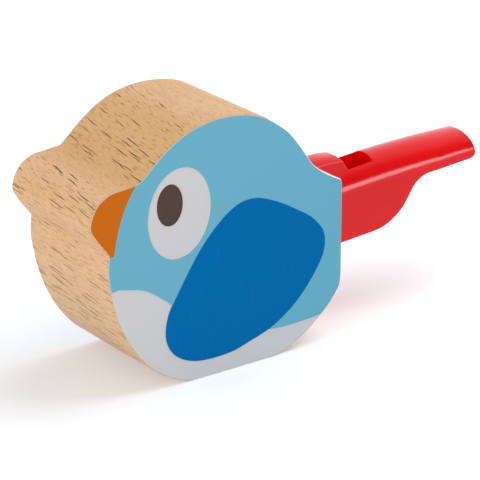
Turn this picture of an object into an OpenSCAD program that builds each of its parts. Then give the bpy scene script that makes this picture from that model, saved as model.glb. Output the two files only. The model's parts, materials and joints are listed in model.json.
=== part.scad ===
// A child's wooden bird call: a thick beech block cut to the outline of a bird,
// with a red whistle that slides in and out of its tail over a fixed piston.
// +X points from beak to mouthpiece, +Z up, and the block stands on its flat bottom at z = 0.

/* [Bird block] */
// Length from the beak's tip to the tail face
body_l = 64.8; // [55:0.1:90]
// Height from the flat bottom to the crown
body_h = 57.3; // [50:0.1:80]
// Thickness of the wooden block, without its print
body_t = 29.5; // [22:0.1:40]
// Radius of the upper corner of the tail face
tail_corner_r = 1.2; // [0.4:0.1:2]

/* [Print] */
// Thickness of the white base coat
coat_t = 0.15; // [0.05:0.05:0.3]
// Thickness of each colour film over the base coat
ink_t = 0.1; // [0.05:0.05:0.2]
// Bare wood left between the edge of the block and the print
print_inset = 0.2; // [0.1:0.05:0.6]
// Width of the eye
eye_w = 15.9; // [10:0.1:18]
// Height of the eye
eye_h = 20; // [12:0.1:22]
// Distance of the eye's centre from the beak's tip
eye_x = 22; // [20:0.1:24]
// Depth of the eye's centre below the crown
eye_z = 18.7; // [17:0.1:21]
// Lean of the eye, in degrees
eye_lean = -5.5; // [-15:0.5:15]
// Width of the pupil
pupil_w = 6.4; // [4:0.1:8]
// Height of the pupil
pupil_h = 9.1; // [5:0.1:12]
// How far the pupil's centre lies before the eye's centre
pupil_dx = 2.4; // [0:0.1:3]
// How far the pupil's centre lies above the eye's centre
pupil_dz = 2.3; // [0:0.1:3]
// Length of the wing
wing_l = 42; // [30:0.1:44]
// Height of the wing
wing_h = 34; // [24:0.1:36]
// Distance of the wing's front end from the beak's tip
wing_x = 18.2; // [17:0.1:20]
// Height of the wing's lowest point
wing_z = 3.8; // [3:0.1:6]
// Least width of light blue between the eye and the wing
eye_rim = 0.4; // [0.2:0.1:0.6]
// How far the colours fall short of the base coat on the side of the tail
print_shift = 0.15; // [0.05:0.05:0.3]

/* [Whistle] */
// Width of the whistle
whistle_w = 12; // [11:0.1:16]
// Height of the whistle from its underside to the crest of its roof
whistle_h = 16.7; // [15:0.1:18]
// Rise of the arched roof from its springing to its crest
roof_rise = 3.5; // [2:0.1:4]
// Length of the whistle outside the tail, along its axis
reach = 46.2; // [40:0.1:60]
// Upward tilt of the whistle, in degrees
tilt = 4; // [0:0.5:6]
// Height at which the whistle's underside leaves the tail face
whistle_z = 17.05; // [15:0.05:18]
// Wall of the sides and the underside
wall = 1.3; // [1:0.1:1.6]
// Wall of the roof over the windway
roof_wall = 1.8; // [1.2:0.1:2.2]
// Rounding between the roof and the sides
shoulder_r = 2.5; // [1:0.1:3]
// Where the underside starts to rise, measured from the tail face
belly_l = 16.5; // [12:0.1:18]
// Length of the underside's rise up to the mouthpiece
rise_l = 16.6; // [14:0.1:20]
// Straight stretch of roof between the window and the widening mouthpiece
mouth_lead = 1; // [0.6:0.1:4]
// Fine step down where the mouthpiece's roof begins
crease = 0.15; // [0.1:0.05:0.3]
// Height of the roof's crest at the mouth, above the whistle's underside
mouth_h = 15; // [13.5:0.1:16]
// Height of the mouthpiece from its underside to the crest
mouth_t = 5.9; // [4.6:0.1:7]
// Rise of the arched roof at the mouth
mouth_rise = 2.4; // [1.2:0.1:3]
// Rounding of the lower lip of the mouth
lip_r = 1.6; // [0.5:0.1:1.8]

/* [Window] */
// Distance of the window's far edge from the tail face
window_x = 18.7; // [16:0.1:22]
// Width of the window
window_w = 7; // [5:0.1:7.6]
// Length of the open window at the roof
window_l = 7.1; // [6:0.1:8]
// Height of the voicing block's shoulders above the whistle's underside
block_h = 18.3; // [17:0.05:19]
// Rise of the voicing block's arched top above its shoulders
block_rise = 0.9; // [0.5:0.1:2]
// Lean of the voicing block's blowing face from upright, in degrees
ramp_lean = 36; // [20:1:50]
// Depth of the voicing edge under the roof's crest
edge_drop = 2.7; // [2.2:0.1:3]
// Height of the windway under the roof
windway_h = 1.1; // [0.8:0.1:1.6]
// Length of the windway plug
plug_l = 19.3; // [12:0.1:22]
// Thickness of the windway plug at the window
plug_t = 3; // [2:0.1:4]
// Extra height of the windway at the plug's mouth end
windway_flare = 0.6; // [0.2:0.1:1]

/* [Slide] */
// How far the whistle pulls out
travel = 18; // [10:0.5:20]
// Distance of the piston head from the tail face
head_depth = 1.6; // [0:0.1:4]
// Diameter of the piston rod
rod_d = 5; // [4:0.1:6]
// Height of the piston rod above the whistle's underside
rod_h = 8.3; // [7:0.1:9]
// Depth of the glued hole that holds the piston rod
rod_seat = 9; // [6:0.5:12]
// Length of the piston head
head_l = 6; // [5:0.1:7]
// Depth of the rod's hole in the piston head
head_bore = 4; // [3:0.1:4.5]
// Length of the groove that holds the seal
groove_l = 2.6; // [2:0.1:3]
// Depth of that groove
groove_d = 1.2; // [0.8:0.1:1.5]
// Thickness of the guide that closes the whistle's inner end
guide_l = 4; // [3:0.1:5]

/* [Fits] */
// Gap round the whistle in its pocket
pocket_gap = 0.3; // [0.2:0.05:0.5]
// Room behind the whistle when it is pushed home
home_gap = 1; // [0.5:0.1:2]
// Gap left at each stop of the slide
stop_gap = 0.4; // [0.3:0.05:0.6]
// Gap round a glued piece
glue_gap = 0.05; // [0.02:0.01:0.1]
// Gap round the seal, the one rubbing fit of the slide
seal_gap = 0.12; // [0.08:0.01:0.2]
// Gap round the piston head
head_gap = 0.4; // [0.3:0.05:0.6]
// Gap round the rod in its guide
rod_gap = 0.1; // [0.05:0.01:0.1]

/* [Hidden] */

// Facets of a circle, and points along each stretch of a drawn curve
$fn = 96;
curve_n = 8;
eye_n = 48;
// How far a cut runs past the face that it opens
over = 2;

// Height of the mouthpiece's underside above the whistle's own
rise_h = mouth_h - mouth_t;

// Everything along the length is placed from the middle of the whole toy
mouth_x = reach * cos(tilt) - rise_h * sin(tilt);
tail_x = (body_l - mouth_x) / 2;
beak_x = tail_x - body_l;

// Heights and places inside the whistle, measured along and above its own underside
function arch_r(w, rise) = (w * w / 4 + rise * rise) / (2 * rise);
roof_r = arch_r(whistle_w, roof_rise);
mouth_r = arch_r(whistle_w, mouth_rise);
block_r = arch_r(window_w, block_rise);
roof_c = whistle_h - roof_r;
mouth_c = mouth_h - mouth_r;
bore_w = whistle_w - 2 * wall;
bore_r = roof_r - roof_wall;
block_floor_h = roof_c + sqrt(bore_r * bore_r - window_w * window_w / 4);
edge_h = whistle_h - edge_drop;
plug_h = whistle_h - roof_wall - windway_h - plug_t;
top_h = max(whistle_h, mouth_h);
block_crest = block_h + block_rise;
block_foot_h = roof_c + sqrt(roof_r * roof_r - window_w * window_w / 4);
block_x = window_x - window_l;
cone_x = window_x + mouth_lead;
// The voicing block ends before the tail face, which leans back from it
stop_x = block_crest * tan(tilt) + stop_gap;
// Inside the block the whistle holds its guide, the travel and the piston head
head_x = -head_depth - head_l;
guide_x = head_x - stop_gap - travel;
tang_x = guide_x - guide_l;
pocket_x = tang_x - home_gap;
rod_x = pocket_x - rod_seat;
groove_x = head_x + (head_l - groove_l) / 2;

// Outline of the block, as shares of its length from the beak and of its height
bottom_shares = [[0.378, 0], [0.733, 0]];
rump_shares = [[0.733, 0], [0.82, 0.036], [0.921, 0.118], [0.988, 0.203], [1, 0.26]];
neck_share = [0.99, 0.647];
head_shares = [neck_share, [0.935, 0.681], [0.875, 0.735], [0.821, 0.821], [0.758, 0.9],
    [0.652, 0.974], [0.518, 1], [0.393, 0.98], [0.294, 0.924], [0.188, 0.825]];
beak_shares = [[0.188, 0.825], [0.135, 0.819], [0.075, 0.811], [0.025, 0.774], [0, 0.706],
    [0.017, 0.658], [0.068, 0.579]];
breast_shares = [[0.068, 0.579], [0.066, 0.488], [0.092, 0.345], [0.148, 0.205], [0.227, 0.094],
    [0.316, 0.028], [0.378, 0]];
// Direction of the neck curve where it leaves the tail's corner, from level
neck_angle = 61;

// Curve between beak and face and the top of the white belly, as shares of the block,
// and the points that close each zone outside the block
face_shares = [[0.2, 0.87], [0.17, 0.815], [0.15, 0.782], [0.131, 0.743], [0.113, 0.693],
    [0.099, 0.639], [0.091, 0.597], [0.088, 0.573]];
beak_close_shares = [[0.088, 0.573], [-0.1, 0.573], [-0.1, 0.87]];
belly_shares = [[-0.1, 0.4], [0.08, 0.438], [0.13, 0.433], [0.179, 0.42], [0.221, 0.4],
    [0.262, 0.366], [0.304, 0.328], [0.42, 0.2], [0.56, 0.135], [0.7, 0.117], [0.784, 0.112],
    [0.864, 0.115], [0.93, 0.121], [1.1, 0.14]];
belly_close_shares = [[1.1, 0.14], [1.1, -0.1], [-0.1, -0.1]];

// Outline of the wing, as shares of its own length and height
wing_shares = [[0.54, 1], [0.402, 0.962], [0.232, 0.78], [0.075, 0.5], [0.012, 0.35], [0.006, 0.2],
    [0.07, 0.08], [0.2, 0.012], [0.385, 0.006], [0.52, 0.044], [0.66, 0.1], [0.79, 0.199],
    [0.9, 0.335], [0.985, 0.5], [0.992, 0.64], [0.924, 0.757], [0.82, 0.846], [0.685, 0.94]];

// Rise of the whistle's underside, as shares of its length and height
rise_shares = [[-0.25, 0], [0, 0], [0.14, 0.028], [0.28, 0.112], [0.42, 0.257], [0.53, 0.425],
    [0.64, 0.68], [0.71, 0.835], [0.8, 0.95], [0.9, 1.013], [1, 1.031], [1.2, 1.022]];

// A point on the smooth curve from b to c, led in from a and out towards d
function curve_pt(a, b, c, d, t) =
    (2 * b + (c - a) * t + (2 * a - 5 * b + 4 * c - d) * t * t + (3 * b - a - 3 * c + d) * t * t * t) / 2;

// Smooth curve through open knots, without its last point
function open_curve(k) = [
    for (i = [0 : len(k) - 2], j = [0 : curve_n - 1])
        let (a = i == 0 ? 2 * k[0] - k[1] : k[i - 1],
             d = i == len(k) - 2 ? 2 * k[i + 1] - k[i] : k[i + 2])
            curve_pt(a, k[i], k[i + 1], d, j / curve_n)];

// Smooth closed curve through all knots
function closed_curve(k) = [
    for (i = [0 : len(k) - 1], j = [0 : curve_n - 1])
        curve_pt(k[(i + len(k) - 1) % len(k)], k[i], k[(i + 1) % len(k)], k[(i + 2) % len(k)], j / curve_n)];

function on_face(shares) = [for (s = shares) [beak_x + s[0] * body_l, s[1] * body_h]];

// Points moved inwards by d, for an outline that runs anticlockwise
function inset(p, d) = [
    for (i = [0 : len(p) - 1])
        let (a = p[(i + len(p) - 1) % len(p)], b = p[(i + 1) % len(p)], t = b - a, l = norm(t))
            p[i] + [-t[1], t[0]] * d / l];

function ellipse(w, h, lean, at) = [
    for (i = [0 : eye_n - 1])
        let (q = 360 * i / eye_n, x = w / 2 * cos(q), z = h / 2 * sin(q))
            at + [x * cos(lean) - z * sin(lean), x * sin(lean) + z * cos(lean)]];

// Upper corner of the tail face, as an arc that runs into the neck curve
corner_end = on_face([neck_share])[0];
corner_c = [tail_x - tail_corner_r, corner_end[1] - tail_corner_r * sin(neck_angle)];
corner_n = 6;
tail_corner = [
    for (i = [0 : corner_n - 1])
        corner_c + tail_corner_r * [cos(neck_angle * i / corner_n), sin(neck_angle * i / corner_n)]];

outline = concat(
    [on_face(bottom_shares)[0]],
    open_curve(on_face(rump_shares)),
    [on_face(rump_shares)[len(rump_shares) - 1]],
    tail_corner,
    open_curve(on_face(head_shares)),
    open_curve(on_face(beak_shares)),
    open_curve(on_face(breast_shares)));

wing_outline = closed_curve([
    for (s = wing_shares) [beak_x + wing_x + s[0] * wing_l, wing_z + s[1] * wing_h]]);
eye_at = [beak_x + eye_x, body_h - eye_z];
eye_outline = ellipse(eye_w, eye_h, eye_lean, eye_at);
pupil_outline = ellipse(pupil_w, pupil_h, 0, eye_at + [-pupil_dx, pupil_dz]);

// Underside of the whistle from the inner end to the mouthpiece, d inside the outer skin
underside_curve = [for (p = open_curve(rise_shares)) [belly_l + p[0] * rise_l, p[1] * rise_h]];
function underside(d) = concat(
    [[tang_x - over, d]],
    [for (i = [1 : len(underside_curve) - 2])
        let (t = underside_curve[i + 1] - underside_curve[i - 1])
            underside_curve[i] + [-t[1], t[0]] * d / norm(t)]);

// Stands a drawing of the side view upright, w wide
module upright(w) {
    rotate([90, 0, 0])
        linear_extrude(w, center = true)
            children();
}

// Stands a drawing of the cross-section upright and runs it from x = a to x = b
module along(a, b) {
    translate([a, 0, 0])
        rotate([90, 0, 90])
            linear_extrude(b - a)
                children();
}

// Places a piece of the whistle on its tilted axis
module on_axis() {
    translate([tail_x, 0, whistle_z])
        rotate([0, -tilt, 0])
            children();
}

// One film on the front face and one on the back, from depth t0 above the wood
module film(t0, t) {
    for (side = [-1, 1])
        translate([0, side * (body_t / 2 + t0 + t / 2), 0])
            upright(t)
                children();
}

// Cross-section with an arched top: d is how far it lies inside w, floor and radius
module arched(w, floor_h, r, c, d) {
    intersection() {
        translate([-w / 2 + d, floor_h + d])
            square([w - 2 * d, c + r - floor_h - 2 * d]);
        union() {
            translate([0, c])
                circle(r - d);
            translate([-w, floor_h - over])
                square([2 * w, c - floor_h + over]);
        }
    }
}

// The whistle's own cross-section, with the rounding between roof and sides
module skin_section() {
    fillet_y = whistle_w / 2 - shoulder_r;
    fillet_z = sqrt((roof_r - shoulder_r) * (roof_r - shoulder_r) - fillet_y * fillet_y);
    difference() {
        arched(whistle_w, 0, roof_r, roof_c, 0);
        for (side = [-1, 1])
            difference() {
                polygon([
                    [side * fillet_y, roof_c + fillet_z],
                    [side * (whistle_w / 2 + over), roof_c + fillet_z],
                    [side * (whistle_w / 2 + over), roof_c + fillet_z * (whistle_w / 2 + over) / fillet_y]]);
                translate([side * fillet_y, roof_c + fillet_z])
                    circle(shoulder_r);
            }
    }
}

module bore_section(d) {
    arched(bore_w, wall, bore_r, roof_c, d);
}

// Roof of the mouthpiece: a cone that widens and sinks towards the mouth, d inside the skin.
// For the windway's floor it lies lower by drop, and sinks by flare degrees more.
module mouth_roof(d, drop = 0, flare = 0) {
    sink = atan((roof_c - mouth_c) / (reach - cone_x));
    cone_l = (reach - cone_x) / cos(sink);
    start_r = roof_r - crease;
    gain = (mouth_r - start_r) / cone_l;
    // Keeps the height of the crest, although the cone's axis leans
    fit = cos(sink - atan(gain)) / cos(atan(gain));
    translate([cone_x, 0, roof_c - drop])
        rotate([0, 90 + sink + flare, 0])
            translate([0, 0, -over])
                cylinder(cone_l + 2 * over,
                    (start_r - d - gain * over) * fit,
                    (mouth_r - d + gain * over) * fit);
}

// Everything under the mouthpiece's roof, from the end of the straight roof to the mouth
module mouth_part(w, d) {
    intersection() {
        along(cone_x, reach + over)
            translate([-w / 2, 0])
                square([w, top_h]);
        union() {
            mouth_roof(d);
            upright(w)
                polygon([[cone_x, 0], [cone_x, roof_c], [reach + over, mouth_c], [reach + over, 0]]);
        }
    }
}

// The hollow of the whistle, narrowed by d all round
module bore(d) {
    along(tang_x - over, cone_x)
        bore_section(d);
    mouth_part(bore_w - 2 * d, roof_wall + d);
}

// Side view of the whistle, d inside its skin, open at both ends when d is over zero
module side_view(d) {
    end_x = reach + (d > 0 ? over : 0);
    polygon(concat(
        underside(d),
        d > 0 ? [[end_x, rise_h + d]] : [
            for (i = [0 : corner_n])
                [reach - lip_r, rise_h + lip_r] + lip_r * [sin(90 * i / corner_n), -cos(90 * i / corner_n)]],
        [[end_x, top_h], [tang_x - over, top_h]]));
}

module bird_body() {
    color("burlywood")
        difference() {
            upright(body_t)
                polygon(outline);
            on_axis() {
                along(pocket_x, over)
                    arched(whistle_w, 0, roof_r, roof_c, -pocket_gap);
                translate([rod_x, 0, rod_h])
                    rotate([0, 90, 0])
                        cylinder(rod_seat + over, d = rod_d + 2 * glue_gap);
            }
        }
}

module base_coat() {
    color("whitesmoke")
        film(0, coat_t)
            polygon(inset(outline, print_inset));
}

// The area that the colour films cover
module ink_zone() {
    intersection() {
        polygon(inset(outline, print_inset));
        translate([-print_shift, 0])
            polygon(inset(outline, print_inset));
    }
}

// The wing, kept clear of the eye
module wing_zone() {
    difference() {
        polygon(wing_outline);
        polygon(ellipse(eye_w + 2 * eye_rim, eye_h + 2 * eye_rim, eye_lean, eye_at));
    }
}

// The face left of the curve at the root of the beak
module beak_zone() {
    polygon(concat(
        open_curve(on_face(face_shares)),
        on_face(beak_close_shares)));
}

module plumage_print() {
    color("skyblue")
        film(coat_t, ink_t)
            difference() {
                ink_zone();
                beak_zone();
                polygon(concat(
                    open_curve(on_face(belly_shares)),
                    on_face(belly_close_shares)));
                wing_zone();
                polygon(eye_outline);
            }
}

module wing_print() {
    color("royalblue")
        film(coat_t, ink_t)
            wing_zone();
}

module beak_print() {
    color("darkorange")
        film(coat_t, ink_t)
            intersection() {
                ink_zone();
                beak_zone();
            }
}

module pupil_print() {
    color("saddlebrown")
        film(coat_t, ink_t)
            polygon(pupil_outline);
}

module whistle_shell() {
    color("crimson")
        on_axis()
            difference() {
                intersection() {
                    upright(whistle_w)
                        side_view(0);
                    union() {
                        along(tang_x, cone_x)
                            skin_section();
                        mouth_part(whistle_w, 0);
                    }
                }
                intersection() {
                    upright(whistle_w)
                        side_view(wall);
                    bore(0);
                }
                along(stop_x, window_x)
                    translate([-window_w / 2, roof_c])
                        square([window_w, whistle_h]);
            }
}

module voicing_block() {
    ramp_x = block_x + (block_foot_h - edge_h) * tan(ramp_lean);
    color("red")
        on_axis()
            intersection() {
                along(stop_x, ramp_x)
                    intersection() {
                        translate([-window_w / 2 + glue_gap, block_floor_h])
                            square([window_w - 2 * glue_gap, block_crest]);
                        translate([0, block_crest - block_r])
                            circle(block_r);
                    }
                upright(window_w)
                    polygon([
                        [stop_x, block_floor_h],
                        [ramp_x - edge_drop, block_floor_h],
                        [ramp_x, edge_h],
                        [ramp_x - (block_crest - edge_h) * tan(ramp_lean), block_crest],
                        [stop_x, block_crest]]);
            }
}

module windway_plug() {
    color("firebrick")
        on_axis()
            difference() {
                intersection() {
                    upright(bore_w)
                        polygon([
                            [window_x, plug_h],
                            [window_x + plug_l, rise_h],
                            [window_x + plug_l, top_h],
                            [window_x, top_h]]);
                    upright(bore_w)
                        side_view(wall + glue_gap);
                    bore(glue_gap);
                }
                difference() {
                    along(window_x - over, window_x + plug_l + over)
                        translate([-window_w / 2, roof_c])
                            square([window_w, whistle_h]);
                    mouth_roof(roof_wall, windway_h, atan(windway_flare / plug_l));
                }
            }
}

module rod_guide() {
    color("firebrick")
        on_axis()
            difference() {
                along(tang_x, guide_x)
                    bore_section(glue_gap);
                translate([tang_x - over, 0, rod_h])
                    rotate([0, 90, 0])
                        cylinder(guide_l + 2 * over, d = rod_d + 2 * rod_gap);
            }
}

module piston_rod() {
    color("wheat")
        on_axis()
            translate([rod_x, 0, rod_h])
                rotate([0, 90, 0])
                    cylinder(head_x + head_bore - rod_x, d = rod_d);
}

module piston_head() {
    color("ivory")
        on_axis()
            difference() {
                along(head_x, head_x + head_l)
                    bore_section(head_gap);
                difference() {
                    along(groove_x, groove_x + groove_l)
                        bore_section(0);
                    along(groove_x - over, groove_x + groove_l + over)
                        bore_section(head_gap + groove_d);
                }
                translate([head_x - over, 0, rod_h])
                    rotate([0, 90, 0])
                        cylinder(head_bore + over, d = rod_d + 2 * glue_gap);
            }
}

module piston_seal() {
    color("dimgray")
        on_axis()
            difference() {
                along(groove_x + glue_gap, groove_x + groove_l - glue_gap)
                    bore_section(seal_gap);
                along(groove_x - over, groove_x + groove_l + over)
                    bore_section(head_gap + groove_d - glue_gap);
            }
}

bird_body();
base_coat();
plumage_print();
wing_print();
beak_print();
pupil_print();
whistle_shell();
voicing_block();
windway_plug();
rod_guide();
piston_rod();
piston_head();
piston_seal();
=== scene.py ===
# %% [markdown]
# # A wooden bird call
# This toy is a thick block of beech, cut to the outline of a standing bird and printed on both
# faces. A red moulded whistle slides in and out of its tail. The pieces below are dressed one by
# one around the frame that holds their real sizes: first the camera, then the finishes, then the
# shapes that need softer edges than the frame gives, and last the floor and the light.

# %% The frame and the units
import bmesh
import bpy
import json
import math
from mathutils import Matrix, Vector


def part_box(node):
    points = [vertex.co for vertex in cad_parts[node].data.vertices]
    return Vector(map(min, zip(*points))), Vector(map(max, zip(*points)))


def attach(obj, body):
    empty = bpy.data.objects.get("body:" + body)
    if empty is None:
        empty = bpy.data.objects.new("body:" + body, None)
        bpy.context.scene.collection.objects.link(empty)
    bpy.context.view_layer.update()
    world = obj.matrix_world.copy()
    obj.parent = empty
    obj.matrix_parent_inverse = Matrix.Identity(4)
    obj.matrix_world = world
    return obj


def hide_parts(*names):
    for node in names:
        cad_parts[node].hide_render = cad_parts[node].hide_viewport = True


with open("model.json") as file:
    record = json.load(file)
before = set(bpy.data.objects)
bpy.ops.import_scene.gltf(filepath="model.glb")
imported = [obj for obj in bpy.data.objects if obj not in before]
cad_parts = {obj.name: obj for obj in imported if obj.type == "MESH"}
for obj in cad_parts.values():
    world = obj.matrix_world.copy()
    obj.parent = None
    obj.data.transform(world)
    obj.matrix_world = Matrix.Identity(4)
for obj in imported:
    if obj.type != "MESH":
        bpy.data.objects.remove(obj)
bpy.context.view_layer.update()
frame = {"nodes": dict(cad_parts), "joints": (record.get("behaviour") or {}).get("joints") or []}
MM = 0.001
print("frame:", len(frame["nodes"]), "pieces")

# %% [markdown]
# ## The camera
# The photograph is taken from in front of the beak's side and a little above, with a long lens.
# The camera turns about the middle of the toy, so its place follows from two angles, a distance
# and the point that it looks at.

# %% Camera
camera_turn = math.radians(-36.204)
camera_height = math.radians(21.535)
camera_distance = 595.1 * MM
camera_target = Vector((-6.1, 0.9, 21.4)) * MM
focal_length = 204.65
film_width = 36
view_limit = 100

def make_camera():
    data = bpy.data.cameras.new("camera")
    data.lens = focal_length
    data.sensor_width = film_width
    data.clip_end = view_limit
    camera = bpy.data.objects.new("camera", data)
    bpy.context.scene.collection.objects.link(camera)
    level = math.cos(camera_height) * camera_distance
    back = Vector((math.sin(camera_turn) * level, -math.cos(camera_turn) * level,
                   math.sin(camera_height) * camera_distance))
    camera.location = camera_target + back
    camera.rotation_euler = (math.pi / 2 - camera_height, 0, camera_turn)
    bpy.context.scene.camera = camera
    return camera

camera = make_camera()
print("camera at", [round(c, 3) for c in camera.location])

# %% [markdown]
# ## A small language for nodes
# A finish is easier to read as a formula than as a web of nodes. A Value wraps one socket and
# turns plus, minus, times and so on into Math nodes, so that a line of Python reads like the
# formula it builds. A Graph makes every other node, and serves materials, the room's light and
# the shapes alike.

# %% Value
class Value:
    """One number of a node tree that can stand in a formula."""

    def __init__(self, graph, socket):
        self.graph = graph
        self.socket = socket

    def math(self, operation, a, b, clamp=False):
        settings = {"operation": operation, "use_clamp": clamp}
        return self.graph.value("ShaderNodeMath", settings, {0: a, 1: b})

    def __add__(self, other):
        return self.math("ADD", self, other)

    def __sub__(self, other):
        return self.math("SUBTRACT", self, other)

    def __rsub__(self, other):
        return self.math("SUBTRACT", other, self)

    def __mul__(self, other):
        return self.math("MULTIPLY", self, other)

    def __truediv__(self, other):
        return self.math("DIVIDE", self, other)

    def __rtruediv__(self, other):
        return self.math("DIVIDE", other, self)

    __radd__ = __add__
    __rmul__ = __mul__

    def size(self):
        return self.math("ABSOLUTE", self, 0)

    def clamped(self):
        return self.math("ADD", self, 0, clamp=True)

    def least(self, other):
        return self.math("MINIMUM", self, other)

    def most(self, other):
        return self.math("MAXIMUM", self, other)

# %% Graph
class Graph:
    """A node tree, with one method that makes any node in it."""

    def __init__(self, tree):
        self.nodes = tree.nodes
        self.links = tree.links

    def node(self, kind, settings, sockets):
        made = self.nodes.new(kind)
        for key, value in settings.items():
            setattr(made, key, value)
        for key, value in sockets.items():
            for one in value if isinstance(value, list) else [value]:
                self.join(one, made.inputs[key])
        return made

    def value(self, kind, settings, sockets, output=0):
        return Value(self, self.node(kind, settings, sockets).outputs[output])

    def join(self, value, target):
        if isinstance(value, Value):
            value = value.socket
        if isinstance(value, bpy.types.NodeSocket):
            self.links.new(value, target)
        else:
            target.default_value = value

    def ramp(self, value, low, high):
        """0 at low and 1 at high, with a soft start and end."""
        settings = {"interpolation_type": "SMOOTHSTEP"}
        sockets = {"Value": value, "From Min": low, "From Max": high}
        return self.value("ShaderNodeMapRange", settings, sockets, "Result")

    def vector_math(self, operation, a, b):
        return self.node("ShaderNodeVectorMath", {"operation": operation}, {0: a, 1: b}).outputs

    def dot(self, vector, direction):
        return Value(self, self.vector_math("DOT_PRODUCT", vector, direction)["Value"])

# %% Finish
class Finish(Graph):
    """One procedural material, built on Object coordinates in millimetres."""

    def __init__(self, name):
        self.material = bpy.data.materials.new(name)
        self.material.use_nodes = True
        super().__init__(self.material.node_tree)
        self.shader = self.nodes["Principled BSDF"]
        self.surface = self.node("ShaderNodeTexCoord", {}, {}).outputs
        self.place = self.stretch(self.surface["Object"], (1 / MM, 1 / MM, 1 / MM))

    def set(self, **sockets):
        for key, value in sockets.items():
            self.join(value, self.shader.inputs[key.replace("_", " ")])

    def stretch(self, vector, factors):
        return self.vector_math("MULTIPLY", vector, factors)["Vector"]

    def point(self, x, y, z):
        return self.node("ShaderNodeCombineXYZ", {}, {0: x, 1: y, 2: z}).outputs[0]

    def noise(self, point, scale=1.0, detail=2.0, roughness=0.5):
        sockets = {"Vector": point, "Scale": scale, "Detail": detail, "Roughness": roughness}
        return self.value("ShaderNodeTexNoise", {}, sockets, "Fac")

    def blend(self, factor, a, b):
        return self.node("ShaderNodeMix", {"data_type": "RGBA"}, {0: factor, 6: a, 7: b}).outputs[2]

    def bump(self, height, distance):
        return self.node("ShaderNodeBump", {}, {"Height": height, "Distance": distance}).outputs[0]

# %% Colours
def opaque(red, green, blue):
    return red, green, blue, 1.0

def colour(red, green, blue):
    """A colour as it is read off a picture, 0 to 255, as the linear one that a shader needs."""
    return opaque(*(pow((c / 255 + 0.055) / 1.055, 2.4) if c > 10 else c / 255 / 12.92
                    for c in (red, green, blue)))

def mixed(a, b, share):
    """A share of 0 is the colour a, and 1 is b."""
    return opaque(*(x + (y - x) * share for x, y in zip(a[:3], b)))

print("white is", [round(c, 2) for c in colour(255, 255, 255)])

# %% [markdown]
# ## Beech
# The block is bare beech with its fibres running through its thickness, a few degrees down
# towards the front. Beech is known by its rays: ribbons of cells that reach from the heart to the
# bark, long with the fibres and thin across them. Where the wall cuts across them they show as
# short dark dashes, as on the forehead and the chest. Where it lies along them, as on the crown,
# they only show as faint flecks. So the rays are made as what they are, flattened ellipsoids in
# the solid, each wall cuts them as it will, and they fade where the wall turns along them.

# %% Rays
grain = Vector((0.0, -0.994, -0.105)).normalized()
radius_way = Vector((-0.96, 0.0, 0.28)).normalized()
ring_way = grain.cross(radius_way).normalized()
waver_pace = 0.3, 0.35
waver_width = 0.5
weakest_ray = 0.45
ray_core = 0.35

def in_wood(wood):
    """A place in the wood: outward along the radius, round the ring, and along the fibres."""
    return [wood.dot(wood.place, way) for way in (radius_way, ring_way, grain)]

def rays(wood, across, around, along, slimness, reach, rarity, seed):
    """Ellipsoids of rays: 1 in the middle of a ray and 0 outside, each with a strength of its own.

    Each ray sits in a cell of the given size, in millimetres. It fills the cell up to its reach,
    and is slimmer than the cell round the ring. The rarity is the share of cells without a ray.
    """
    outward, round_ring, fibres = in_wood(wood)
    waver_place = wood.point(outward * waver_pace[0], fibres * waver_pace[1], seed)
    waver = wood.noise(waver_place) * (waver_width / around)
    point = wood.point(outward / across + seed, round_ring / around + waver, fibres / along)
    cell = wood.node("ShaderNodeTexVoronoi", {}, {"Vector": point, "Scale": 1.0}).outputs
    chance = wood.node("ShaderNodeSeparateColor", {}, {"Color": cell["Color"]}).outputs
    present = wood.ramp(Value(wood, chance["Red"]), rarity, rarity + 0.1)
    strength = weakest_ray + (1 - weakest_ray) * Value(wood, chance["Green"])
    offset = wood.vector_math("SUBTRACT", point, cell["Position"])["Vector"]
    slim = wood.stretch(offset, (1, slimness, 1))
    away = wood.value("ShaderNodeVectorMath", {"operation": "LENGTH"}, {0: slim}, "Value")
    return wood.ramp(away, reach, reach * ray_core) * present * strength

# %% Tones of the beech
forehead_middle = (-38, 0, 52)

def beech_tones(wood, bold, fine, strands):
    """Soft clouds of two tones, and over them a darker forehead, a paler foot, strands, pores and
    the rays. Each layer is a mask and the colour that shows where the mask is 1.
    """
    outward, round_ring, fibres = in_wood(wood)
    wander = 5 * wood.noise(wood.point(outward * 0.12, round_ring * 0.12, fibres * 0.05))
    ring = (outward + wander) * 0.45
    rings = wood.noise(wood.point(ring, round_ring * 0.05, fibres * 0.012), detail=3)
    clouds = wood.noise(wood.place, scale=0.09)
    pores = wood.noise(wood.point(outward * 9, round_ring * 9, fibres * 2.2), detail=2)
    from_side = wood.stretch(wood.place, (1, 0, 1))
    forehead = Value(wood, wood.vector_math("DISTANCE", from_side, forehead_middle)["Value"])
    height = wood.dot(wood.place, (0, 0, 1))

    tone = wood.ramp(rings * 0.6 + clouds * 0.4, 0.32, 0.68)
    body = wood.blend(tone, colour(211, 171, 128), colour(220, 182, 142))
    # The layer that grows paler low down on the block is painted light, thrown up from the white table.
    for mask, tint in ((wood.ramp(forehead, 15, 6) * 0.8, colour(206, 164, 114)),
                       (wood.ramp(height, 44, 2) * 0.7, colour(214, 187, 160)),
                       (wood.ramp(strands, 0.42, 0.75) * 0.65, colour(190, 142, 94)),
                       (wood.ramp(pores, 0.55, 0.8) * 0.3, colour(168, 120, 76)),
                       ((fine * 1.8).least(0.9), colour(142, 92, 48)),
                       ((bold * 3.0).least(1.0), colour(70, 34, 8))):
        body = wood.blend(mask, body, tint)
    return body

# %% Beech finish
along_wall, across_wall = 0.3, 0.72

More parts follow.
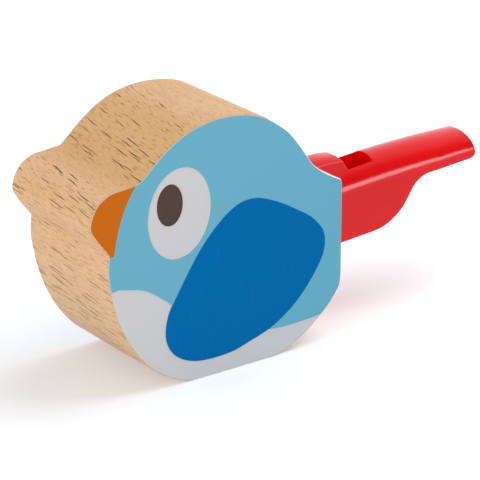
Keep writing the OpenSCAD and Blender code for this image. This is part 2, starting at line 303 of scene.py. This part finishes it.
def beech_finish():
    wood = Finish("beech")
    outward, round_ring, fibres = in_wood(wood)
    turned = wood.dot(wood.surface["Normal"], radius_way).size()
    cut = wood.ramp(turned, along_wall, across_wall)
    bold = rays(wood, across=2.6, around=0.8, along=8.0, slimness=3.4, reach=0.42, rarity=0.3,
                seed=7.0)
    fine = rays(wood, across=1.1, around=0.38, along=3.0, slimness=2.4, reach=0.42, rarity=0.2,
                seed=40.0)
    bold = bold * (0.06 + 0.94 * cut)
    fine = fine * (0.2 + 0.8 * cut)
    strand_place = wood.point(outward * 4.2, round_ring * 4.2, fibres * 0.5)
    strands = wood.noise(strand_place, detail=4, roughness=0.6)
    relief = strands * 0.2 - bold - fine * 0.5
    wood.set(Base_Color=beech_tones(wood, bold, fine, strands), Roughness=0.48 + 0.2 * strands,
             Normal=wood.bump(relief, 0.05 * MM), Specular_IOR_Level=0.15)
    return wood.material

beech = beech_finish()
print("beech:", len(beech.node_tree.nodes), "nodes")

# %% [markdown]
# ## Printed ink
# The faces are printed in flat colours over a white ground. The ink is matt and thin, so the end
# grain telegraphs through it as very faint upright streaks, and it is a little darker low down
# towards the tail. All the inks share one recipe and differ only in colour.

# %% Ink finish
low_tail_way = (0.5, 0, -0.6)
paler_end, darker_end = -52, 6
worn_share = 0.05
deep_share = (0.85, 0.925, 0.935)

def ink_finish(name, ink):
    coat = Finish(name)
    streaks = coat.noise(coat.stretch(coat.place, (1.9, 0.3, 0.14)), detail=4, roughness=0.6)
    grit = coat.noise(coat.place, scale=3.5, detail=2)
    # Darker low down towards the tail.
    across = coat.ramp(coat.dot(coat.place, low_tail_way), paler_end, darker_end)
    worn = mixed(ink, (1, 1, 1), worn_share)
    deep = opaque(*(c * share for c, share in zip(ink, deep_share)))
    body = coat.blend((across + streaks * 0.2 - 0.1).clamped(), ink, deep)
    body = coat.blend(coat.ramp(streaks, 0.6, 0.85) * 0.5, body, worn)
    coat.set(Base_Color=body, Roughness=0.55 + 0.12 * grit,
             Normal=coat.bump(streaks * 0.6 + grit * 0.4, 0.015 * MM), Specular_IOR_Level=0.02)
    return coat.material

ink_of = {
    "base_coat": ink_finish("white_ground", colour(209, 208, 211)),
    "plumage_print": ink_finish("light_blue_ink", colour(110, 177, 203)),
    "wing_print": ink_finish("deep_blue_ink", colour(0, 107, 173)),
    "beak_print": ink_finish("orange_ink", colour(202, 107, 24)),
    "pupil_print": ink_finish("brown_ink", colour(83, 70, 61)),
}
# A white brighter than the white ground: a painted highlight for the rounded edges towards the tail.
rim_white_painted_highlight = ink_finish("white_rim_painted_highlight", colour(252, 252, 255))
print("inks:", ", ".join(ink_of), "and", rim_white_painted_highlight.name)

# %% [markdown]
# ## Moulded plastic
# The whistle is a glossy red moulding. Its colour goes all the way through, so only the gloss
# varies: a slow waviness from the tool and a fine haze of handling. Its walls are thin enough for
# light to come through, so its inside isn't black but a deep red. The inner faces get a second,
# darker red with a painted glow that stands in for that light, and so do the hidden plug and guide.
# The thin edges of the voicing block get a paler red: a painted highlight along those edges.

# %% Plastic finishes
def plastic_finish(name, body, deep, gloss, glow=0.0):
    plastic = Finish(name)
    cloud = plastic.noise(plastic.place, scale=0.12, detail=2)
    haze = plastic.noise(plastic.place, scale=1.4, detail=3)
    plastic.set(Base_Color=plastic.blend(plastic.ramp(cloud, 0.3, 0.7), body, deep),
                Roughness=gloss + 0.08 * haze, Normal=plastic.bump(haze, 0.003 * MM),
                Specular_IOR_Level=0.27, Emission_Color=body, Emission_Strength=glow)
    return plastic.material

red = plastic_finish("red_plastic", colour(226, 7, 17), colour(220, 5, 14), 0.12)
red_painted_highlight = plastic_finish("red_plastic_painted_highlight", colour(250, 122, 112), colour(244, 108, 98), 0.12)
red_inside_painted_glow = plastic_finish("red_plastic_inside_painted_glow", colour(214, 2, 6), colour(208, 1, 5), 0.3, 0.3)
dark_red_painted_glow = plastic_finish("dark_red_plastic", colour(196, 4, 8), colour(186, 3, 7), 0.3, 0.36)
ivory = plastic_finish("ivory_plastic", colour(232, 226, 205), colour(222, 214, 190), 0.35)
plastics = (red, red_painted_highlight, red_inside_painted_glow, dark_red_painted_glow, ivory)
print("plastics:", ", ".join(material.name for material in plastics))

# %% [markdown]
# ## Felt and birch
# Two finishes are hidden inside the tail: a felt collar that seals the piston, and the birch dowel
# that carries it. They show only when the toy is taken apart, and are made as carefully as that
# needs.

# %% Felt and birch finishes
def felt_finish():
    felt = Finish("felt")
    fuzz = felt.noise(felt.place, scale=6.0, detail=5, roughness=0.7)
    felt.set(Base_Color=felt.blend(fuzz, colour(96, 96, 98), colour(140, 140, 142)),
             Roughness=0.9 + 0.1 * fuzz, Normal=felt.bump(fuzz, 0.15 * MM))
    return felt.material

def birch_finish():
    birch = Finish("birch")
    strands = birch.noise(birch.stretch(birch.place, (0.15, 2.4, 2.4)), detail=4)
    birch.set(Base_Color=birch.blend(strands, colour(206, 170, 122), colour(236, 212, 174)),
              Roughness=0.5 + 0.2 * strands, Normal=birch.bump(strands, 0.03 * MM))
    return birch.material

felt = felt_finish()
birch = birch_finish()
print("hidden:", felt.name, "and", birch.name)

# %% [markdown]
# ## Dressing a piece
# Every piece that is made here goes through the same steps: its faces are smoothed except across
# real edges, it gets its finish, it rides on its body, and the pieces of the frame that it stands
# for are hidden.

# %% Dressing helpers
smooth_limit = math.radians(32)

def dress(name, shape, finishes, body, stands_for):
    bmesh.ops.recalc_face_normals(shape, faces=shape.faces)
    mesh = bpy.data.meshes.new(name)
    shape.to_mesh(mesh)
    shape.free()
    for material in finishes:
        mesh.materials.append(material)
    piece = bpy.data.objects.new(name, mesh)
    bpy.context.scene.collection.objects.link(piece)
    mesh.shade_smooth()
    mesh.set_sharp_from_angle(angle=smooth_limit)
    flow = piece.modifiers.new("even shading", "WEIGHTED_NORMAL")
    flow.keep_sharp = True
    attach(piece, body)
    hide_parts(*stands_for)
    print(name, len(mesh.polygons), "faces")

def round_edges(shape, edges, width, segments, clamp=True):
    """Rounds edges and gives back the new faces along them.

    The clamp keeps roundings from running into each other, but on an outline of short steps it
    would leave almost nothing of them.
    """
    return bmesh.ops.bevel(shape, geom=edges, offset=width, offset_type="OFFSET", segments=segments,
                           profile=0.5, affect="EDGES", clamp_overlap=clamp)["faces"]

# %% [markdown]
# ## The whistle's axis and section
# The whistle slides on an axis that climbs a few degrees. Cut across, it is a box whose roof is
# one soft curve from side to side, rounder than a box and squarer than an ellipse. Such a curve is
# a superellipse: the same formula as an ellipse's, with a power a little over 2. The bore inside
# has the same form, and so has the pocket in the bird's tail, so the section comes first.

# %% Axis
slide_way = Vector(frame["joints"][0]["axis"]).normalized()
rise_way = Vector((-slide_way.z, 0, slide_way.x))
tail_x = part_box("bird_body")[1].x
axis_z = 17.05 * MM
axis_start = Vector((tail_x, 0, axis_z))

def to_frame(a, y, h):
    """A point along the axis, across it and above the underside, in millimetres, in the frame."""
    return axis_start + slide_way * (a * MM) + rise_way * (h * MM) + Vector((0, y * MM, 0))

print("axis climbs", round(math.degrees(math.asin(slide_way.z)), 2), "degrees")

# %% Section
whistle_w = (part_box("whistle_shell")[1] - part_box("whistle_shell")[0]).y / MM
whistle_h = 16.7
spring_h = 9.6
roof_power = 2.15
window_w = 7.0
edge_r = 0.3
least_side = 0.15
flat_steps = 3
corner_steps = 4
roof_steps = 14
window_steps = 8

def roof_point(side, spring, crest, turn):
    """A point on the roof's curve: a turn of 0 is its foot, and a quarter turn its crest."""
    power = 2 / roof_power
    return side * math.cos(turn) ** power, spring + (crest - spring) * math.sin(turn) ** power

def half_section(width, floor, spring, crest):
    """From the middle of the floor, round the side and over the roof's curve, to the crest."""
    side = width / 2
    low = floor + edge_r
    spring = max(spring, low + least_side)
    quarter = math.pi / 2
    window = math.acos((window_w / 2 / side) ** (roof_power / 2))
    points = [(i * (side - edge_r) / flat_steps, floor) for i in range(flat_steps)]
    points += [(side - edge_r + edge_r * math.sin(q), low - edge_r * math.cos(q))
               for q in (i * quarter / corner_steps for i in range(corner_steps))]
    points += [(side, low + (spring - low) * i / flat_steps) for i in range(flat_steps)]
    turns = [window * i / roof_steps for i in range(roof_steps)]
    turns += [window + (quarter - window) * i / window_steps for i in range(window_steps)]
    return points + [roof_point(side, spring, crest, turn) for turn in turns] + [(0, crest)]

half_count = len(half_section(whistle_w, 0, spring_h, whistle_h))
window_from = half_count - window_steps - 1

def whole_section(*sizes):
    half = half_section(*sizes)
    return half + [(-y, h) for y, h in reversed(half[1:-1])]

print("section:", 2 * half_count - 2, "points")

# %% [markdown]
# ## The bird block
# The block is sawn from a thick board, so its shape follows a rule: an outline, carried through
# the board's thickness, less the pocket in the tail and the hole behind it for the dowel. That is
# work for Geometry Nodes. The outline is read off the frame's own block, so both agree. The tree
# fills it, pushes it through the thickness, stands it up and cuts the pocket and the hole.

# %% Outline and pocket as curves
weld = 0.002 * MM
straight = math.radians(0.2)

def frame_outline():
    """The corners of the block's front face, in order, along X and Z."""
    shape = bmesh.new()
    shape.from_mesh(frame["nodes"]["bird_body"].data)
    bmesh.ops.remove_doubles(shape, verts=shape.verts, dist=weld)
    bmesh.ops.dissolve_limit(shape, angle_limit=straight, verts=shape.verts, edges=shape.edges)
    towards_us = [face for face in shape.faces if face.normal.y < -0.999]
    front = max(towards_us, key=lambda face: face.calc_area())
    corners = [(vert.co.x, vert.co.z) for vert in front.verts]
    shape.free()
    return corners

def flat_curve(name, corners):
    data = bpy.data.curves.new(name, "CURVE")
    data.dimensions = "3D"
    spline = data.splines.new("POLY")
    spline.points.add(len(corners) - 1)
    for point, (x, y) in zip(spline.points, corners):
        point.co = (x, y, 0, 1)
    spline.use_cyclic_u = True
    curve = bpy.data.objects.new(name, data)
    bpy.context.scene.collection.objects.link(curve)
    return curve

pocket_gap = 0.3
bird_outline = frame_outline()
pocket_sizes = (whistle_w + 2 * pocket_gap, -pocket_gap, spring_h, whistle_h + pocket_gap)
pocket_section = [(y * MM, h * MM) for y, h in whole_section(*pocket_sizes)]
board_curve = flat_curve("board outline", bird_outline)
pocket_curve = flat_curve("pocket outline", pocket_section)
print("outline:", len(bird_outline), "corners; pocket:", len(pocket_section))

# %% Tree of the sawn board
hole_sides = 96
seam = 0.001 * MM

def board_tree(inputs):
    """A tree with named inputs, and the identifier of each."""
    tree = bpy.data.node_groups.new("sawn board", "GeometryNodeTree")
    names = {name: tree.interface.new_socket(name=name, in_out="INPUT", socket_type=kind).identifier
             for name, kind in inputs}
    tree.interface.new_socket(name="Board", in_out="OUTPUT", socket_type="NodeSocketGeometry")
    board = Graph(tree)
    given = board.node("NodeGroupInput", {}, {}).outputs

    def make(kind, settings, sockets):
        return board.node("GeometryNode" + kind, settings, sockets).outputs[0]

    def solid(curve, depth):
        face = make("FillCurve", {"mode": "NGONS"}, {"Curve": curve})
        pushed = make("ExtrudeMesh", {"mode": "FACES"},
                      {"Mesh": face, "Offset Scale": depth, "Individual": False})
        lid = make("FlipFaces", {}, {"Mesh": face})
        both = make("JoinGeometry", {}, {"Geometry": [pushed, lid]})
        return make("MergeByDistance", {}, {"Geometry": both, "Distance": seam})

    half_thickness = 0.5 * Value(board, given["Thickness"])
    centring = board.node("ShaderNodeCombineXYZ", {}, {"Y": half_thickness}).outputs[0]
    stood = make("Transform", {}, {"Geometry": solid(given["Outline"], given["Thickness"]),
                                   "Rotation": (math.pi / 2, 0, 0), "Translation": centring})
    pocket = solid(make("ObjectInfo", {}, {"Object": given["Pocket Outline"]}), given["Pocket Depth"])
    hole = make("MeshCylinder", {}, {"Vertices": hole_sides, "Radius": given["Hole Radius"],
                                     "Depth": given["Hole Depth"]})
    cuts = [make("Transform", {}, {"Geometry": shape, "Rotation": given["Turn"],
                                   "Translation": given[place]})
            for shape, place in ((pocket, "Pocket Start"), (hole, "Hole Middle"))]
    cut = make("MeshBoolean", {"operation": "DIFFERENCE", "solver": "EXACT"},
               {"Mesh 1": stood, "Mesh 2": cuts})
    real = make("RealizeInstances", {}, {"Geometry": cut})
    painted = make("SetMaterial", {}, {"Geometry": real, "Material": given["Wood"]})
    board.node("NodeGroupOutput", {}, {0: painted})
    return tree, names

# %% Sawn block
pocket_x = -31.0
hole_x = -40.0
hole_d = 5.1
rod_h = 8.3
overrun = 2.0

def sawn_block():
    thickness = (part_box("bird_body")[1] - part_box("bird_body")[0]).y
    turn = Matrix((Vector((0, 1, 0)), rise_way, slide_way)).transposed().to_euler()
    sizes = [
        ("Outline", "NodeSocketGeometry", None),
        ("Thickness", "NodeSocketFloat", thickness),
        ("Pocket Outline", "NodeSocketObject", pocket_curve),
        ("Pocket Depth", "NodeSocketFloat", (overrun - pocket_x) * MM),
        ("Pocket Start", "NodeSocketVector", to_frame(pocket_x, 0, 0)),
        ("Hole Radius", "NodeSocketFloat", hole_d / 2 * MM),
        ("Hole Depth", "NodeSocketFloat", (pocket_x - hole_x + overrun) * MM),
        ("Hole Middle", "NodeSocketVector", to_frame((pocket_x + hole_x + overrun) / 2, 0, rod_h)),
        ("Turn", "NodeSocketVector", turn),
        ("Wood", "NodeSocketMaterial", beech),
    ]
    tree, names = board_tree([size[:2] for size in sizes])
    saw = board_curve.modifiers.new("sawn board", "NODES")
    saw.node_group = tree
    for name, kind, value in sizes[1:]:
        saw[names[name]] = value
    cut = board_curve.evaluated_get(bpy.context.evaluated_depsgraph_get())
    mesh = bpy.data.meshes.new_from_object(cut)
    shape = bmesh.new()
    shape.from_mesh(mesh)
    for used in (board_curve, pocket_curve):
        bpy.data.objects.remove(used)
    bpy.data.meshes.remove(mesh)
    return shape

block_shape = sawn_block()
print("sawn block:", len(block_shape.faces), "faces,", round(block_shape.calc_volume() / MM ** 3), "mm3")

# %% [markdown]
# ## Sanding the block
# Both long edges of the sawn wall are sanded to a small rounding, and so is the rim of the pocket.
# Towards the tail the white ground of the print laps over that rounding, and those faces get a
# white brighter than the ground itself, a painted highlight that draws a fine pale line there.

# %% Bird block
block_edge = 0.32 * MM
pocket_edge = 0.12 * MM
white_reach = 20 * MM
touch = 0.01 * MM
rearward = 0.05
pocket_corner = math.radians(60)

def make_bird_block(shape):
    face_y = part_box("bird_body")[1].y - touch
    rim = []
    pocket = []
    for face in shape.faces:
        face.material_index = 0
    for edge in shape.edges:
        if not edge.is_manifold:
            continue
        printed = [abs(face.calc_center_median().y) > face_y for face in edge.link_faces]
        in_tail = min(vert.co.x for vert in edge.verts) > tail_x - touch
        if printed[0] != printed[1]:
            rim.append(edge)
        elif in_tail and edge.calc_face_angle() > pocket_corner:
            pocket.append(edge)
    rounding = round_edges(shape, rim, block_edge, 3, clamp=False)
    shape.normal_update()
    # Roundings that face the tail get the brighter white, a painted highlight over the white ground.
    for face in rounding:
        if face.normal.x > rearward and face.calc_center_median().x > tail_x - white_reach:
            face.material_index = 1
    round_edges(shape, [edge for edge in pocket if edge.is_valid], pocket_edge, 2)
    dress("bird_block", shape, [beech, rim_white_painted_highlight], "bird", ["bird_body"])

make_bird_block(block_shape)

# %% [markdown]
# ## The prints
# The white ground and the four inks are thin films with crisp outlines, and the frame already
# holds them exactly, so they keep their own meshes and only get their finish.

# %% Prints
def refinish(node, material):
    piece = frame["nodes"][node]
    piece.data.materials.clear()
    piece.data.materials.append(material)

for node, material in ink_of.items():
    refinish(node, material)
print("prints:", len(ink_of))

# %% [markdown]
# ## The whistle's shell
# Seen from the side, the underside swells like a belly and then rises to a thin mouthpiece. That
# curve is read off the frame's own shell, so both agree. Past the window the roof sinks towards
# the mouth, and the mouth is cut with a slight lean. Sections are placed at stations along the
# axis and joined, outside and inside, and the quads between the two edges of the window are
# simply left out and walled in, which gives crisp clean edges without cutting.

# %% Sizes along the shell
mouth_h = 15.0
mouth_spring_h = 10.1
roof_swell = 0.25
wall = 1.3
roof_wall = 1.8
reach = 46.5
tang = 30.0
window_x = 18.7
lead = 1.0
block_crest = 19.2
stop_gap = 0.4
stop_x = block_crest * slide_way.z / slide_way.x + stop_gap
lip_l = 1.9
lip_h = 1.1
lean_from = 38.0
mouth_lean = 0.15
side_height = 10
underside_end = 43

def underside_points():
    """The lower edge of the frame's shell, as pairs of place and height."""
    found = {}
    for vertex in frame["nodes"]["whistle_shell"].data.vertices:
        if abs(vertex.co.y + whistle_w * MM / 2) > touch:
            continue
        offset = vertex.co - axis_start
        a, h = offset.dot(slide_way) / MM, offset.dot(rise_way) / MM
        key = round(a, 1)
        if h < side_height and (key not in found or h < found[key][1]):
            found[key] = (a, h)
    return sorted(point for point in found.values() if point[0] < underside_end)

underside = underside_points()
rise_h = underside[-1][1]
print("underside:", len(underside), "points, rising", round(rise_h, 2), "mm")

# %% Heights along the shell
slope_step = 0.6

def floor_at(a):
    """The underside, with a rounded lip at the mouth."""
    if a > reach - lip_l:
        share = min((a - reach + lip_l) / lip_l, 1)
        return rise_h + lip_h * (1 - math.sqrt(1 - share * share))
    for (a0, h0), (a1, h1) in zip(underside, underside[1:]):
        if a0 <= a <= a1:
            return h0 + (h1 - h0) * (a - a0) / (a1 - a0)
    return rise_h if a > underside[-1][0] else 0.0

def bore_floor_at(a):
    """The inner floor lies one wall inside the underside, square to its slope."""
    a = min(a, reach - lip_l - slope_step)
    slope = (floor_at(a + slope_step) - floor_at(a - slope_step)) / (2 * slope_step)
    return min(floor_at(a) + wall * math.sqrt(1 + slope * slope), rise_h + wall)

def roof_at(a):
    """Heights of the roof's springing and of its crest."""
    share = max(0.0, (a - window_x - lead) / (reach - window_x - lead))
    crest = whistle_h + (mouth_h - whistle_h) * share + roof_swell * 4 * share * (1 - share)
    return spring_h + (mouth_spring_h - spring_h) * share, crest

def leaning(a, h):
    """The mouth leans back: the higher a point near it, the further back it lies."""
    share = max(0.0, (a - lean_from) / (reach - lean_from))
    return a - mouth_lean * (h - rise_h) * share * share

# %% Stations
lip_turns = (0, 20, 40, 58, 74)
plain_places = [*range(-26, 16, 4), 44]
least_spacing = 0.25

def stations():
    """Where sections stand: at each real edge, closer round the lip, and where the belly turns."""
    marks = [-tang, stop_x, window_x, window_x + lead, reach]
    marks += [reach - lip_l + lip_l * math.sin(math.radians(turn)) for turn in lip_turns]
    spread = [a for a, h in underside if a > 1] + plain_places
    return sorted(marks + [a for a in spread if min(abs(a - m) for m in marks) > least_spacing])

places = stations()
print("stations:", len(places))

# %% Rings of the shell
def shell_rings(shape):
    """The outer and the inner ring of points at each station."""
    outer = []
    inner = []
    for a in places:
        spring, crest = roof_at(a)
        out = whole_section(whistle_w, floor_at(a), spring, crest)
        bore = whole_section(whistle_w - 2 * wall, bore_floor_at(a), spring, crest - roof_wall)
        outer.append([shape.verts.new(to_frame(leaning(a, h), y, h)) for y, h in out])
        inner.append([shape.verts.new(to_frame(leaning(a, h), y, h)) for y, h in bore])
    return outer, inner

# %% Shell
shell_edge = 0.14 * MM
shell_corner = math.radians(50)

def make_shell():
    shape = bmesh.new()
    outer, inner = shell_rings(shape)
    count = len(outer[0])
    open_columns = range(window_from, count - window_from)
    first, last = places.index(stop_x), places.index(window_x)

    # The inner faces and the window's walls get the darker red with a painted glow.
    def wall_face(*corners):
        shape.faces.new(corners).material_index = 1

    for i in range(len(places) - 1):
        for j in range(count):
            k = (j + 1) % count
            if first <= i < last and j in open_columns:
                continue
            shape.faces.new((outer[i][j], outer[i + 1][j], outer[i + 1][k], outer[i][k]))
            wall_face(inner[i][j], inner[i][k], inner[i + 1][k], inner[i + 1][j])
        if first <= i < last:
            for j in (open_columns.start, open_columns.stop):
                wall_face(outer[i][j], outer[i + 1][j], inner[i + 1][j], inner[i][j])
    for i in (first, last):
        for j in open_columns:
            wall_face(outer[i][j], outer[i][j + 1], inner[i][j + 1], inner[i][j])
    for i in (0, -1):
        for j in range(count):
            k = (j + 1) % count
            shape.faces.new((outer[i][j], outer[i][k], inner[i][k], inner[i][j]))
    bmesh.ops.recalc_face_normals(shape, faces=shape.faces)
    crisp = [edge for edge in shape.edges
             if edge.is_manifold and edge.calc_face_angle() > shell_corner]
    for face in round_edges(shape, crisp, shell_edge, 2):
        face.material_index = 0
    dress("whistle_tube", shape, [red, red_inside_painted_glow], "whistle", ["whistle_shell"])

make_shell()

# %% [markdown]
# ## The voicing block
# Behind the window stands a block whose sloped end splits the air. Its top is arched from side to
# side and slightly crowned along the axis. It carries the brightest reflections of the whistle.
# Its sharp edges are rounded well, and the roundings get a paler red, a painted highlight that
# draws a fine bright line along each shoulder.

# %% Outline of the voicing block
block_h = 18.4
block_rise = 0.95
block_crown = 0.3
block_power = 3.0
block_climb = -0.6
edge_h = 14.0
block_floor = 13.5
ramp_lean = math.radians(25)
ramp_x = 12.4
heel = 2.7
side_gap = 0.05
arch_steps = 16
crown_steps = 5

def block_outline(y, half):
    """The block cut along the axis at y: its floor, its slope, and its top from front to back."""
    top = block_h + block_rise * (1 - abs(y / half) ** block_power)
    slope_top = ramp_x - (top - edge_h) * math.tan(ramp_lean)
    points = [(stop_x, block_floor), (ramp_x - heel, block_floor), (ramp_x, edge_h)]
    for i in range(crown_steps, -1, -1):
        share = i / crown_steps
        crown = block_climb + block_crown * 4 * (1 - share)
        points.append((stop_x + (slope_top - stop_x) * share, top + share * crown))
    return points

# %% Voicing block
block_round = 0.34 * MM
block_corner = math.radians(30)

def make_voicing_block():
    shape = bmesh.new()
    half = window_w / 2 - side_gap
    rings = []
    for i in range(arch_steps + 1):
        y = half * math.cos(math.pi * i / arch_steps)
        rings.append([shape.verts.new(to_frame(a, y, h)) for a, h in block_outline(y, half)])
    for one, two in zip(rings, rings[1:]):
        for j in range(len(one)):
            k = (j + 1) % len(one)
            shape.faces.new((one[j], one[k], two[k], two[j]))
    shape.faces.new(rings[0])
    shape.faces.new(list(reversed(rings[-1])))
    bmesh.ops.recalc_face_normals(shape, faces=shape.faces)
    crisp = [edge for edge in shape.edges if edge.calc_face_angle() > block_corner]
    # The rounded edges get the paler red: a painted highlight along them.
    for face in round_edges(shape, crisp, block_round, 3):
        face.material_index = 1
    dress("voicing_wedge", shape, [red, red_painted_highlight], "whistle", ["voicing_block"])

make_voicing_block()

# %% [markdown]
# ## What is hidden inside
# The plug, the guide, the rod, the piston and its seal are plain machined or moulded pieces. The
# frame's shapes are right for them, so they only get their finish.

# %% Inner pieces
# The plug and the guide get the dark red with a painted glow, standing in for light through the
# whistle's walls.
inner_finishes = {"windway_plug": dark_red_painted_glow, "rod_guide": dark_red_painted_glow, "piston_rod": birch,
                  "piston_head": ivory, "piston_seal": felt}
for node, material in inner_finishes.items():
    refinish(node, material)
print("inner pieces:", ", ".join(inner_finishes))

# %% [markdown]
# ## Floor
# The toy stands on a white table that runs into a white wall. To the camera and to reflections the
# table is lifted to clean white by a little light of its own, while its shadow stays.

# %% Floor
floor_size = 3.0
floor_lift = 0.23
bounce_white = colour(246, 244, 240)
seen_white = colour(233, 237, 242)
glow_white = colour(255, 254, 252)

def make_floor():
    shape = bmesh.new()
    bmesh.ops.create_grid(shape, x_segments=8, y_segments=8, size=floor_size)
    mesh = bpy.data.meshes.new("table")
    shape.to_mesh(mesh)
    shape.free()
    floor = bpy.data.objects.new("table", mesh)
    bpy.context.scene.collection.objects.link(floor)
    paint = Finish("table_white")
    path = paint.node("ShaderNodeLightPath", {}, {}).outputs
    seen = Value(paint, path["Is Camera Ray"]).most(Value(paint, path["Is Glossy Ray"]))
    no_glow = opaque(0, 0, 0)
    lifted = mixed(no_glow, glow_white, floor_lift)
    paint.set(Base_Color=paint.blend(seen, bounce_white, seen_white), Roughness=0.9,
              Specular_IOR_Level=0.0, Emission_Color=paint.blend(seen, no_glow, lifted),
              Emission_Strength=1.0)
    mesh.materials.append(paint.material)

make_floor()
print("floor:", 2 * floor_size, "m wide")

# %% [markdown]
# ## Light
# A photographer's table is lit by the whole room and by a few wide soft boxes. The room gives half
# of the light. A box overhead gives most of the rest and the soft shadow under the bird. A low one
# on the left lights the wooden front, a weak one on the right thins the shadow of the whistle, and
# a narrow one only draws the bright line along the whistle's shoulder, so it is the only lamp that
# glossy pieces mirror. What a glossy piece reflects matters as much: the room is white behind the
# toy and overhead, and dark towards the photographer, which keeps the near side of the whistle's
# roof a deep red.

# %% Room
room_level = 0.45
mirrored_level = 1.35
dark_from, white_from = -0.95, 0.3

def make_room():
    world = bpy.data.worlds.new("room")
    bpy.context.scene.world = world
    world.use_nodes = True
    room = Graph(world.node_tree)
    way = room.node("ShaderNodeTexCoord", {}, {}).outputs["Generated"]
    path = room.node("ShaderNodeLightPath", {}, {}).outputs
    mirrored = mirrored_level * room.ramp(room.dot(way, (0, 1, 0)), dark_from, white_from)
    strength = room_level + (1 - room_level) * Value(room, path["Is Camera Ray"])
    strength = strength + (mirrored - room_level) * Value(room, path["Is Glossy Ray"])
    room.join(strength, room.nodes["Background"].inputs["Strength"])
    room.nodes["Background"].inputs["Color"].default_value = (1, 1, 1, 1)

make_room()
print("room gives", room_level, "and shows", mirrored_level, "in reflections")

# %% Lamps
lamp_distance = 1.0

def make_lamp(name, direction, width, height, brightness, mirrored):
    """A soft box. A brightness of 1 looks as bright as white paper in plain light.

    Glossy pieces only reflect it if it is mirrored.
    """
    data = bpy.data.lights.new(name, "AREA")
    data.shape = "RECTANGLE"
    data.size = width
    data.size_y = height
    data.energy = brightness * math.pi * width * height
    lamp = bpy.data.objects.new(name, data)
    bpy.context.scene.collection.objects.link(lamp)
    way = Vector(direction).normalized()
    lamp.visible_glossy = mirrored
    lamp.location = camera_target + way * lamp_distance
    lamp.rotation_euler = way.to_track_quat("Z", "Y").to_euler()
    print(name, "gives", round(data.energy, 2), "W")

make_lamp("overhead", (0.45, -0.16, 1.0), 0.7, 0.7, 3.15, mirrored=False)
make_lamp("left", (-0.95, -0.2, 0.3), 0.5, 0.5, 6.2, mirrored=False)
make_lamp("right fill", (0.85, 0.35, 0.45), 0.5, 0.5, 3.0, mirrored=False)
make_lamp("shoulder line", (0.57, -0.81, 0.12), 0.22, 0.18, 11.5, mirrored=True)

# %% Finish
bpy.context.scene.view_settings.view_transform = "Standard"
